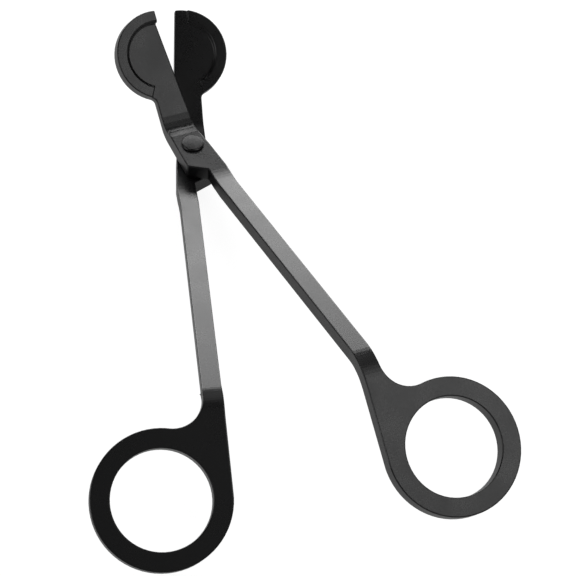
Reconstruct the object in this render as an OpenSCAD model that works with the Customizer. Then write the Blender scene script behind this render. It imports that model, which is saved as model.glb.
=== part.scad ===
// Wick trimmer: two bent one-piece steel levers on one rivet.
// Millimetres, +Z up. The tool lies on a table as it does when it is put down: it rests on the
// formed tail of the rivet and on the end of the lower lever's ring. +Y points to the head.
// The drawn pose is part open. Each lever is laid out flat (x across, y along the bar) and
// bent at three lines that run across the bar.

/* [Bar] */
// Thickness of the bar in the plate, the arm and the ring
bar_t = 4.6; // [4:0.1:5.5]
// Width of the arm
arm_w = 5.7; // [4.5:0.1:7]
// Length of the arm between its two bend lines
arm_len = 93.8; // [60:1:120]
// Distance from the tool's centre line to the arm's inner edge at the plate, when closed
arm_in_plate = 0.5; // [0.3:0.1:2]
// The same distance at the ring
arm_in_ring = 5; // [3:0.1:8]
// Radius of the bends at the head and at the ring, on the face where the two levers meet
bend_r = 10; // [5.5:0.5:12]
// Radius of the slow bend between the plate and the arm
arm_bend_r = 50; // [20:5:70]

/* [Bends] */
// Angle of the cutting head above the pivot plate
head_pitch = 38.5; // [20:0.5:45]
// Angle of the arm above the pivot plate
arm_pitch = 7; // [3:1:8]
// Angle by which the ring drops away from the arm
ring_drop = 42; // [15:0.5:45]

/* [Pivot plate] */
// Distance from the rivet to the bend line of the head
plate_front = 10.5; // [9.5:0.1:12]
// Distance from the rivet to the bend line of the arm
plate_back = 15.4; // [14:0.1:20]
// Width of the plate and of the neck on the outer side
plate_out = 5.1; // [4.5:0.1:6]
// Width of the plate on its arm side at the rivet
plate_in = 4.8; // [4.4:0.1:6.5]
// Distance from the rivet back to the outer corner of the shoulder
shoulder_back = 8.3; // [6.5:0.1:9]
// Distance from the rivet back to the inner corner of the shoulder
shoulder_root = 11.8; // [9.5:0.1:12.5]
// Radius of the outer corner of the shoulder
shoulder_r = 1.2; // [0.5:0.1:2]

/* [Cutting head] */
// Radius of the half-round blade
blade_r = 13.7; // [11:0.1:15]
// Distance along the bar from the rivet to the centre of the half-round blade
blade_at = 34.7; // [31:0.1:38]
// Thickness of the blade and of its neck
blade_t = 3.2; // [2:0.1:3.6]
// How far the cutting edge crosses the centre line at its tip, when closed
edge_tip = 1; // [0.6:0.1:2]
// How far the edge crosses the centre line at the neck
edge_heel = 3.9; // [2.5:0.1:4.3]
// Width of the raised rim that holds the cut wick
rim_w = 3.8; // [2.5:0.1:5]
// Height of the raised rim above the blade
rim_h = 0.9; // [0.4:0.1:1.5]
// Width of the slope on the rim's inner side
rim_slope = 0.5; // [0.2:0.1:1]
// How far the tip of the upper rim stands past the cutting edge
rim_lip = 0.5; // [0.2:0.1:0.8]
// Bare landing for the upper blade, from the centre line to the start of the lower rim
landing_w = 2.6; // [2.2:0.1:5]
// Direction in which the rim stops beside the neck
rim_stop = 243; // [225:1:250]
// Radius of the fillet between the blade and the outer side of the neck
neck_fillet = 2; // [0.8:0.1:2.5]

/* [Finger rings] */
// Radius of the finger hole
ring_hole_r = 14.2; // [12:0.1:15]
// Outer radius of the ring
ring_r = 19.8; // [17.5:0.1:22]
// Distance from the centre line to the centre of the finger hole, when closed
ring_out = 24.3; // [22:0.1:28]
// Distance from the bend line of the ring to the centre of the finger hole
ring_at = 27.4; // [25:0.1:32]
// Radius of the fillet between the arm and the outer side of the ring
fillet_r = 8.5; // [4:0.5:9]

/* [Rivet] */
// Radius of the rivet's shank
shank_r = 2.4; // [2:0.1:3]
// Radius of the rivet's head
rivet_r = 3.45; // [3.2:0.05:4]
// Height of the rivet's head
rivet_h = 0.8; // [0.5:0.1:1.2]
// Radius of the formed tail
tail_r = 3.1; // [2.9:0.1:3.4]
// Height of the formed tail
tail_h = 0.7; // [0.5:0.1:1]
// Outer radius of the washer under the lower lever
washer_r = 4.2; // [3.6:0.1:4.6]
// Thickness of the washer
washer_t = 0.6; // [0.4:0.1:1]
// Radial clearance of the shank in the upper lever, and of the head above it
running_fit = 0.06; // [0.02:0.01:0.1]

/* [Pose and place] */
// Angle between the levers in the drawn pose
open_angle = 15; // [10:0.5:25]
// Angle of the pivot plate, nose down
plate_tilt = 5.4; // [0:0.1:15]
// Height of the rivet above the table
pivot_z = 6.2; // [6:0.1:20]
// Distance of the rivet from the middle of the tool's length
pivot_y = 51.1; // [30:0.1:70]

/* [Hidden] */
$fn = 96;
bend_steps = 10;
// length by which the outlines of two stretches overlap at a bend, and the straight run there
lap = 1.5;
straight = 5.2;
// width by which the plate and the ring stand proud of the head and the arm at a bend
proud = 0.05;
// reach of a cut past the face it opens
past = 1;
// gap between the two plates, and the deeper set of the lower blade
plate_gap = 0.24;
blade_relief = 0.3;
// depth of the blade's floor below the highest line of the neck, and its height over the lowest
floor_step = 0.1;
// outer edge of the arm at its two ends
arm_out_plate = arm_in_plate + arm_w;
arm_out_ring = arm_in_ring + arm_w;
// depth by which a blend cuts into the side that it blends with, so that the two cross cleanly
graze = 0.01;
// place of the blade and of the finger hole from their bend lines
blade_y = blade_at - plate_front;
edge_len = blade_y + blade_r;
// foot of the blade, where its rim may begin
rim_foot = blade_y - blade_r;
// distance by which the change of thickness runs past the bend of the head on either side, its
// end seen from the bend line, and the share of the change that lies on each side of the bend
thin_past = 2;
thin_run = bend_r * tan(head_pitch / 2) + thin_past;
thin_share = 0.19;
// centre of the fillet circle beside the neck, seen from the bend line of the head
notch_x = proud - plate_out - neck_fillet + graze;
notch_y = blade_y - sqrt(pow(blade_r + neck_fillet - graze, 2) - pow(notch_x, 2));
// half the height of a cut through the bar
cut_h = 2 * bar_t;
// centre of the fillet circle, seen from the bend line of the ring
fillet_x = arm_out_ring + fillet_r - graze;
fillet_y = -ring_at + sqrt(pow(ring_r + fillet_r - graze, 2) - pow(ring_out - fillet_x, 2));
// direction in which the ring's straight inner side touches it
side_run = [ring_out - arm_in_ring, ring_at - straight];
side_dir = 180 - atan2(side_run[1], side_run[0]) + acos(ring_r / norm(side_run));
// slope of the shoulder, and the middle of its rounded corner
shoulder_slope = atan2(shoulder_root - shoulder_back, arm_in_plate + plate_out);
corner_x = -plate_out + shoulder_r;
corner_y = -shoulder_back + shoulder_r * (1 - sin(shoulder_slope)) / cos(shoulder_slope);
corner_steps = 6;
// lowest and highest face of each lever, seen from the face where they meet
upper_bar = [plate_gap / 2, plate_gap / 2 + bar_t];
lower_bar = [-plate_gap / 2 - bar_t, -plate_gap / 2];
upper_neck = [plate_gap / 2, plate_gap / 2 + blade_t];
lower_neck = [-plate_gap / 2 - blade_relief - blade_t, -plate_gap / 2 - blade_relief];
tail_z = lower_bar[0] - washer_t;
head_z = upper_bar[1] + running_fit;
// shares of the rivet head's height where its straight side ends and where its crown begins
side_share = 0.4;
crown_share = 0.85;
// colours
lever_colour = [0.13, 0.13, 0.14];
rivet_colour = [0.18, 0.18, 0.19];

// Side view: a point of a bend of radius r, at the angle a round it and at a height above the
// meeting face. way is 1 towards the head and -1 towards the ring; up is 1 for a bend that turns
// upward. The bend takes the same length from each of the two bars beside it.
function bend_point(r, turn, up, way, a, height) =
    [way * r * (sin(a) - tan(turn / 2)), up * r * (1 - cos(a))]
    + height * [-way * up * sin(a), cos(a)];

// Side view: from the frame of a stretch to the frame of the plate
function turned(a, p) = [p[0] * cos(a) - p[1] * sin(a), p[0] * sin(a) + p[1] * cos(a)];
function from_head(p) = [plate_front, 0] + turned(head_pitch, p);
function from_arm(p) = [-plate_back, 0] + turned(-arm_pitch, p);
function from_ring(p) = from_arm([-arm_len, 0] + turned(ring_drop, p));

// Side view: one face of the whole lever from the blade's tip to the ring's end. The face is at
// the given heights in the blade, at the blade's foot, in the neck beside the bend, and in the bar.
function face_line(blade, foot, neck, bar) = concat(
    [from_head([edge_len + past, blade]), from_head([rim_foot, blade]), from_head([rim_foot, foot]),
     from_head([thin_run, neck])],
    [for (i = [bend_steps : -1 : 0])
        let (k = i / bend_steps, share = thin_share + (1 - 2 * thin_share) * k)
        [plate_front, 0]
        + bend_point(bend_r, head_pitch, 1, 1, head_pitch * k, bar + (neck - bar) * share)],
    [[plate_front - thin_run, bar]],
    [for (i = [0 : bend_steps])
        [-plate_back, 0]
        + bend_point(arm_bend_r, arm_pitch, 1, -1, arm_pitch * i / bend_steps, bar)],
    [for (i = [0 : bend_steps])
        from_arm([-arm_len, 0]
                 + bend_point(bend_r, ring_drop, -1, -1, ring_drop * i / bend_steps, bar))],
    [from_ring([-ring_at - ring_r - past, bar])]);

// Points in the opposite order
function reversed(points) = [for (i = [len(points) - 1 : -1 : 0]) points[i]];

// The bent strip that the lever is cut from, wider than the lever
module strip(bar_faces, neck_faces) {
    half_w = ring_out + ring_r + past;
    low = neck_faces[0];
    high = neck_faces[1];
    under = face_line(low, low, low, bar_faces[0]);
    over = face_line(high + rim_h, high, high - 2 * floor_step, bar_faces[1]);
    translate([-half_w, 0, 0]) rotate([90, 0, 90])
        linear_extrude(2 * half_w) polygon(concat(under, reversed(over)));
}

// A cut that follows a plan outline, straight through the strip
module through() {
    translate([0, 0, -cut_h]) linear_extrude(2 * cut_h) children();
}

// Frames of the four stretches, each with its origin on its bend line and +Y to the head
module at_head() { translate([0, plate_front, 0]) rotate([head_pitch, 0, 0]) children(); }
module at_arm() { translate([0, -plate_back, 0]) rotate([-arm_pitch, 0, 0]) children(); }
module at_ring() { at_arm() translate([0, -arm_len, 0]) rotate([ring_drop, 0, 0]) children(); }

// Plan of the cutting head: the half-round blade, cut by its edge, and the neck. The rim's tip
// stands past the edge by the given lip.
module head_plan(lip) {
    heel = edge_heel - proud;
    slope = (edge_tip - heel) / (edge_len - straight);
    lip_y = edge_len - rim_w;
    lip_x = edge_tip - slope * rim_w;
    tip = lip > 0
        ? [[lip_x, lip_y], [lip_x + lip, lip_y], [lip_x + lip, edge_len + past]]
        : [[edge_tip, edge_len + past]];
    intersection() {
        union() {
            translate([0, blade_y]) circle(blade_r);
            translate([proud - plate_out, -lap]) square([2 * plate_out, blade_y + lap]);
            difference() {
                polygon([[-plate_out / 2, notch_y], [notch_x, notch_y], [0, blade_y]]);
                translate([notch_x, notch_y]) circle(neck_fillet);
            }
        }
        polygon(concat([[-blade_r - past, -lap], [heel, -lap], [heel, straight]], tip,
                       [[-blade_r - past, edge_len + past]]));
    }
}

// The cut that sinks the floor inside the raised rim, open to the neck and to the landing. It
// stands on the floor, which runs out into the rising neck, and leaves the rim with its inner
// slope.
module floor_cut(x_start) {
    reach = 3 * blade_r;
    inner_r = blade_r - rim_w;
    grade = rim_slope / rim_h;
    ring_h = floor_step + rim_h + 2 * past;
    difference() {
        translate([-reach, thin_run + past, 0]) cube([2 * reach, 2 * reach, cut_h]);
        translate([0, blade_y, -past]) intersection() {
            difference() {
                cylinder(r = blade_r + 2 * past, h = ring_h);
                translate([0, 0, -past]) cylinder(r1 = inner_r - 2 * grade * past,
                    r2 = inner_r + grade * ring_h, h = ring_h + 2 * past);
            }
            linear_extrude(ring_h) polygon([[x_start, reach], [x_start, 0], [0, 0],
                reach * [cos(rim_stop), sin(rim_stop)], [-reach, -reach], [-reach, reach]]);
        }
    }
}

// Plan of the pivot plate, with its slanted shoulder
module plate_plan() {
    y1 = plate_front + lap;
    y2 = -plate_back - lap;
    corner = [for (i = [0 : corner_steps])
        let (a = 180 + (90 - shoulder_slope) * i / corner_steps)
        [corner_x + shoulder_r * cos(a), corner_y + shoulder_r * sin(a)]];
    polygon(concat([[-plate_out, y1]], corner, [[arm_in_plate, -shoulder_root], [arm_in_plate, y2],
        [arm_out_plate, y2], [arm_out_plate, -shoulder_root], [plate_in, 0],
        [edge_heel, plate_front - straight], [edge_heel, y1]]));
}

// Plan of the arm, which swings outward from the plate to the ring
module arm_plan() {
    y1 = -straight;
    y2 = -arm_len + straight;
    y3 = -arm_len - lap;
    polygon([[arm_in_plate + proud, lap], [arm_in_plate + proud, y1],
             [arm_in_ring + proud, y2], [arm_in_ring + proud, y3],
             [arm_out_ring - proud, y3], [arm_out_ring - proud, y2],
             [arm_out_plate - proud, y1], [arm_out_plate - proud, lap]]);
}

// Plan of the ring: a disc with a straight inner side and a fillet on the outer side
module ring_plan() {
    touch = (ring_r - graze) * [cos(side_dir), sin(side_dir)];
    translate([ring_out, -ring_at]) circle(ring_r);
    difference() {
        polygon([[arm_in_ring, lap], [arm_in_ring, -straight], [ring_out, -ring_at] + touch,
                 [ring_out, -ring_at], [fillet_x, fillet_y],
                 [arm_out_ring, fillet_y], [arm_out_ring, lap]]);
        translate([fillet_x, fillet_y]) circle(fillet_r);
    }
}

// One whole lever, arm to +X and blade to -X, bored for the rivet and for the finger
module lever(bar_faces, neck_faces, rim_start, lip, bore_r) {
    difference() {
        intersection() {
            strip(bar_faces, neck_faces);
            union() {
                at_head() through() head_plan(lip);
                through() plate_plan();
                at_arm() through() arm_plan();
                at_ring() through() ring_plan();
            }
        }
        at_head() translate([0, 0, neck_faces[1] - floor_step]) floor_cut(rim_start);
        translate([0, 0, bar_faces[0] - past]) cylinder(r = bore_r, h = bar_t + 2 * past);
        at_ring() translate([ring_out, -ring_at, bar_faces[0] - past])
            cylinder(r = ring_hole_r, h = bar_t + 2 * past);
    }
}

// From the pivot's own frame to the table
module in_place(swing) {
    translate([0, pivot_y, pivot_z]) rotate([-plate_tilt, 0, 0]) rotate([0, 0, swing]) children();
}

module upper_lever() {
    color(lever_colour) in_place(open_angle / 2)
        lever(upper_bar, upper_neck, blade_r, rim_lip, shank_r + running_fit);
}

module lower_lever() {
    color(lever_colour) in_place(-open_angle / 2) mirror([1, 0, 0])
        lever(lower_bar, lower_neck, -landing_w, 0, shank_r);
}

module pivot_rivet() {
    crown_r = rivet_r - rivet_h / 2;
    color(rivet_colour) in_place(0) rotate_extrude() polygon([
        [0, tail_z - tail_h], [tail_r - tail_h, tail_z - tail_h], [tail_r, tail_z],
        [shank_r, tail_z], [shank_r, head_z], [rivet_r, head_z],
        [rivet_r, head_z + side_share * rivet_h], [crown_r, head_z + crown_share * rivet_h],
        [0, head_z + rivet_h]]);
}

module tail_washer() {
    color(rivet_colour) in_place(0) translate([0, 0, tail_z]) difference() {
        cylinder(r = washer_r, h = washer_t);
        translate([0, 0, -past]) cylinder(r = shank_r, h = washer_t + 2 * past);
    }
}

upper_lever();
lower_lever();
pivot_rivet();
tail_washer();
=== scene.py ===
"""Wick trimmer: looks, floor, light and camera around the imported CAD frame. Metres throughout."""

import math

import bpy
from mathutils import Euler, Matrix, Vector


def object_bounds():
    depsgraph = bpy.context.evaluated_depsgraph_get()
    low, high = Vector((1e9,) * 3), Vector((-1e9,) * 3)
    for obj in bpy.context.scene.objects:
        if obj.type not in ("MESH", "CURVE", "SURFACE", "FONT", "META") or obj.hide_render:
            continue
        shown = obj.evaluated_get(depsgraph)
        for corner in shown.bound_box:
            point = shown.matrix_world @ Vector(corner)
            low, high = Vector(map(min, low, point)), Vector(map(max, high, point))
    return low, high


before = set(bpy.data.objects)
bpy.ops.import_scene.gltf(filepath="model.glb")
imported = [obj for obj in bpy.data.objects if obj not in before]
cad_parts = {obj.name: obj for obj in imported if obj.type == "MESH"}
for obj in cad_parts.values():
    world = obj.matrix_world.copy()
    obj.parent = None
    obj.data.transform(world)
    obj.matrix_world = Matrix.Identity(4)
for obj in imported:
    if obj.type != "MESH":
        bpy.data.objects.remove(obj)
cad_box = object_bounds()

MM = 0.001
WHITE = (1.0, 1.0, 1.0, 1.0)


# Camera

SENSOR_MM = 36.0
NEAREST_SEEN = 0.01


def make_camera(place, angles, lens):
    """A camera at a place, turned by XYZ angles in degrees, with a lens in millimetres."""
    data = bpy.data.cameras.new("camera")
    data.sensor_width = SENSOR_MM
    data.lens = lens
    data.clip_start = NEAREST_SEEN
    camera = bpy.data.objects.new("camera", data)
    camera.location = place
    camera.rotation_euler = Euler([math.radians(a) for a in angles], "XYZ")
    bpy.context.scene.collection.objects.link(camera)
    bpy.context.scene.camera = camera


make_camera(place=(-0.18693, -0.52397, 0.68273), angles=(39.232, -4.721, -15.468), lens=187.22)


# Materials

# Cycles per metre of the coating's mottling, of the specks in its worn edges and of its grain
CLOUD_SCALE = 90.0
SPECK_SCALE = 900.0
GRAIN_SCALE = 2600.0
# Spread of the roughness over the mottling and over the grain
CLOUD_SPREAD = 0.03
GRAIN_SPREAD = 0.03
GRAIN_DEPTH = 0.02 * MM
COAT_SPECULAR = 0.6
# Width of the worn edges, and the cosine of the turn at which an edge counts as fully worn
WEAR_RADIUS = 0.25 * MM
WEAR_COSINE = 0.9
WEAR_SAMPLES = 6
SPECK_START = 0.45
SPECK_END = 0.7


def new_material(name):
    """An empty node material: its tree, and its Principled shader."""
    material = bpy.data.materials.new(name)
    material.use_nodes = True
    tree = material.node_tree
    return material, tree, tree.nodes["Principled BSDF"]


def noise(tree, scale, detail):
    """Noise over the object's own coordinates, in cycles per metre."""
    coords = tree.nodes.new("ShaderNodeTexCoord")
    texture = tree.nodes.new("ShaderNodeTexNoise")
    texture.inputs["Scale"].default_value = scale
    texture.inputs["Detail"].default_value = detail
    tree.links.new(coords.outputs["Object"], texture.inputs["Vector"])
    return texture.outputs["Fac"]


def ramp(tree, value, low, high, start=0.3, end=0.7):
    """A value between start and end, carried to the range from low to high."""
    node = tree.nodes.new("ShaderNodeMapRange")
    node.inputs["From Min"].default_value = start
    node.inputs["From Max"].default_value = end
    node.inputs["To Min"].default_value = low
    node.inputs["To Max"].default_value = high
    tree.links.new(value, node.inputs["Value"])
    return node.outputs["Result"]


def joined(tree, operation, first, second):
    """Two values joined by a math operation."""
    node = tree.nodes.new("ShaderNodeMath")
    node.operation = operation
    tree.links.new(first, node.inputs[0])
    tree.links.new(second, node.inputs[1])
    return node.outputs["Value"]


def edge_wear(tree):
    """Near 1 along the edges, where a coating rubs thin, and 0 on flat faces."""
    bevel = tree.nodes.new("ShaderNodeBevel")
    bevel.inputs["Radius"].default_value = WEAR_RADIUS
    bevel.samples = WEAR_SAMPLES
    geometry = tree.nodes.new("ShaderNodeNewGeometry")
    dot = tree.nodes.new("ShaderNodeVectorMath")
    dot.operation = "DOT_PRODUCT"
    tree.links.new(bevel.outputs["Normal"], dot.inputs[0])
    tree.links.new(geometry.outputs["Normal"], dot.inputs[1])
    return ramp(tree, dot.outputs["Value"], 1.0, 0.0, start=WEAR_COSINE, end=1.0)


def mix_colour(tree, factor, first, second):
    """Two colours mixed by a factor."""
    node = tree.nodes.new("ShaderNodeMix")
    node.data_type = "RGBA"
    node.inputs["A"].default_value = (*first, 1.0)
    node.inputs["B"].default_value = (*second, 1.0)
    tree.links.new(factor, node.inputs["Factor"])
    return node.outputs["Result"]


def coated_steel(name, base, worn, rough, grain):
    """Satin black coating on steel: faint mottling, fine grain, and thinner coating along edges."""
    material, tree, shader = new_material(name)
    cloud = noise(tree, CLOUD_SCALE, detail=4.0)
    speck = noise(tree, SPECK_SCALE, detail=3.0)
    fine = noise(tree, GRAIN_SCALE, detail=2.0)
    speckled = ramp(tree, speck, 0.0, 1.0, start=SPECK_START, end=SPECK_END)
    worn_patch = joined(tree, "MULTIPLY", edge_wear(tree), speckled)
    tree.links.new(mix_colour(tree, worn_patch, base, worn), shader.inputs["Base Color"])
    mottled = ramp(tree, cloud, rough - CLOUD_SPREAD, rough + CLOUD_SPREAD)
    grained = ramp(tree, fine, -GRAIN_SPREAD, GRAIN_SPREAD)
    tree.links.new(joined(tree, "ADD", mottled, grained), shader.inputs["Roughness"])
    shader.inputs["Metallic"].default_value = 0.0
    shader.inputs["Specular IOR Level"].default_value = COAT_SPECULAR
    bump = tree.nodes.new("ShaderNodeBump")
    bump.inputs["Strength"].default_value = grain
    bump.inputs["Distance"].default_value = GRAIN_DEPTH
    tree.links.new(fine, bump.inputs["Height"])
    tree.links.new(bump.outputs["Normal"], shader.inputs["Normal"])
    return material


# CAD nodes: softened edges and materials

# Points closer than this become one, and faces within this angle become one face
WELD_GAP = 0.06 * MM
FLAT_ANGLE = math.radians(1.0)
# Edges turning by more than this angle are rounded, in this many steps
EDGE_ANGLE = math.radians(40)
EDGE_SEGMENTS = 3


def soften(node, width):
    """Merges the facets of each flat face, rounds the sharp edges and smooths the bends."""
    weld = node.modifiers.new("weld", "WELD")
    weld.merge_threshold = WELD_GAP
    flat = node.modifiers.new("flat", "DECIMATE")
    flat.decimate_type = "DISSOLVE"
    flat.angle_limit = FLAT_ANGLE
    flat.delimit = set()
    bevel = node.modifiers.new("bevel", "BEVEL")
    bevel.width = width
    bevel.segments = EDGE_SEGMENTS
    bevel.limit_method = "ANGLE"
    bevel.angle_limit = EDGE_ANGLE
    bevel.use_clamp_overlap = False
    bevel.harden_normals = True
    normals = node.modifiers.new("normals", "WEIGHTED_NORMAL")
    normals.keep_sharp = True


def dress(name, material, width):
    """Softens a CAD node and gives it its material."""
    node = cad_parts[name]
    soften(node, width)
    node.data.materials.clear()
    node.data.materials.append(material)


lever_coat = coated_steel(
    "lever_coat", base=(0.005, 0.005, 0.0055), worn=(0.03, 0.029, 0.028), rough=0.3, grain=0.25
)
rivet_coat = coated_steel(
    "rivet_coat", base=(0.01, 0.01, 0.0105), worn=(0.05, 0.048, 0.045), rough=0.3, grain=0.2
)
dress("upper_lever", lever_coat, 0.35 * MM)
dress("lower_lever", lever_coat, 0.35 * MM)
dress("pivot_rivet", rivet_coat, 0.12 * MM)
dress("tail_washer", rivet_coat, 0.1 * MM)


# Floor and light

FLOOR_COLOUR = (0.3, 0.3, 0.3, 1.0)
FLOOR_ROUGHNESS = 0.9
FLOOR_GAP = 0.1 * MM
# The point that the lights face
CENTRE = (0.0, 0.0, 0.015)
# Name, place (azimuth, elevation, distance), size and radiance of each light
SOFTBOXES = [
    ("back_box", (4.0, 18.5, 1.0), (1.3, 0.42), 6.3),
    ("top_box", (5.0, 68.0, 1.0), (0.5, 0.5), 0.65),
    ("crown_box", (92.0, 68.0, 1.0), (0.3, 0.3), 0.9),
    ("right_box", (125.0, 55.0, 1.0), (0.4, 0.4), 2.1),
    ("left_box", (-95.0, 25.0, 1.0), (0.7, 0.3), 2.5),
    ("front_box", (186.0, 58.0, 0.55), (0.15, 0.15), 0.2),
]


def make_floor(size, height, glow, bounce):
    """A white floor under the tool. It glows as seen, and gives less light back to the tool."""
    bpy.ops.mesh.primitive_plane_add(size=size, location=(0.0, 0.0, height))
    floor = bpy.context.object
    floor.name = "floor"
    material, tree, shader = new_material("floor_paint")
    shader.inputs["Base Color"].default_value = FLOOR_COLOUR
    shader.inputs["Roughness"].default_value = FLOOR_ROUGHNESS
    shader.inputs["Specular IOR Level"].default_value = 0.0
    shader.inputs["Emission Color"].default_value = WHITE
    path = tree.nodes.new("ShaderNodeLightPath")
    seen = ramp(tree, path.outputs["Is Camera Ray"], bounce, glow, start=0.0, end=1.0)
    tree.links.new(seen, shader.inputs["Emission Strength"])
    floor.data.materials.append(material)


def make_softbox(name, place, size, radiance):
    """A flat light that faces the centre, with the given brightness of its face."""
    data = bpy.data.lights.new(name, "AREA")
    data.shape = "RECTANGLE"
    data.size, data.size_y = size
    data.energy = radiance * math.pi * size[0] * size[1]
    light = bpy.data.objects.new(name, data)
    light.location = place
    aim = Vector(CENTRE) - Vector(place)
    light.rotation_euler = aim.to_track_quat("-Z", "Y").to_euler()
    light.visible_camera = False
    bpy.context.scene.collection.objects.link(light)


def from_origin(azimuth, elevation, distance):
    """A place seen from the origin: azimuth 0 is +Y and 90 is +X, in degrees."""
    a, e = math.radians(azimuth), math.radians(elevation)
    level = distance * math.cos(e)
    return (level * math.sin(a), level * math.cos(a), distance * math.sin(e))


def make_world(ceiling, horizon, haze):
    """A dim ceiling over a pale horizon, which fades out at the sine of elevation given as haze."""
    world = bpy.data.worlds.new("surround")
    world.use_nodes = True
    tree = world.node_tree
    coords = tree.nodes.new("ShaderNodeTexCoord")
    split = tree.nodes.new("ShaderNodeSeparateXYZ")
    tree.links.new(coords.outputs["Generated"], split.inputs["Vector"])
    strength = ramp(tree, split.outputs["Z"], horizon, ceiling, start=0.0, end=haze)
    tree.links.new(strength, tree.nodes["Background"].inputs["Strength"])
    tree.nodes["Background"].inputs["Color"].default_value = WHITE
    bpy.context.scene.world = world


bpy.context.scene.view_settings.view_transform = "Standard"
make_floor(size=6.0, height=cad_box[0][2] - FLOOR_GAP, glow=0.92, bounce=0.3)
make_world(ceiling=0.03, horizon=0.9, haze=0.12)
for box_name, box_place, box_size, box_radiance in SOFTBOXES:
    make_softbox(box_name, from_origin(*box_place), box_size, box_radiance)
